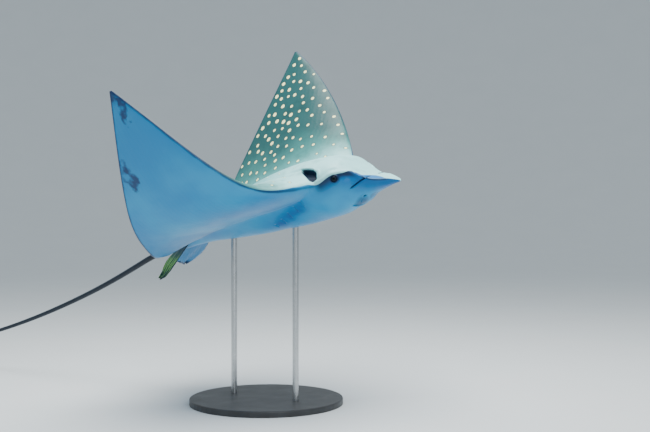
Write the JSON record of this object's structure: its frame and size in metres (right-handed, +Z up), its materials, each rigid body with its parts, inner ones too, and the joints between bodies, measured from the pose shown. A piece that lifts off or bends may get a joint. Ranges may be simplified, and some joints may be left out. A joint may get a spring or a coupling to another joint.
{
  "type": "spotted eagle ray model",
  "caption": "Life-size spotted eagle ray, wings raised, banking with its nose up, held over a round flat base by upright rods.",
  "frame": {"origin": "centre of the underside of the stand's base", "axes": "+X the way the ray swims, +Y its left, +Z up"},
  "size_m": [3.6969, 0.9084, 1.1193],
  "materials": {
    "skin": "smooth wet-looking skin, slate above with pale round spots, white below",
    "tail_skin": "smooth, near black",
    "eye": "glossy, dark",
    "spine": "bone-like, satin",
    "stand_base": "satin black",
    "stand_rod": "satin"
  },
  "bodies": {
    "root": {"rostral_lobe": "skin", "head": "skin", "eye_left": "eye", "eye_right": "eye", "trunk_front": "skin", "trunk_rear": "skin", "wing_left_inner": "skin", "wing_left_outer": "skin", "wing_right_inner": "skin", "wing_right_outer": "skin", "pelvic_fin_left": "skin", "pelvic_fin_right": "skin", "dorsal_fin": "skin", "sting": "spine", "tail_1": "tail_skin", "tail_2": "tail_skin", "tail_3": "tail_skin", "tail_4": "tail_skin", "tail_5": "tail_skin", "tail_6": "tail_skin", "stand_base": "stand_base", "stand_rod_front": "stand_rod", "stand_rod_rear": "stand_rod"}
  },
  "joints": []
}
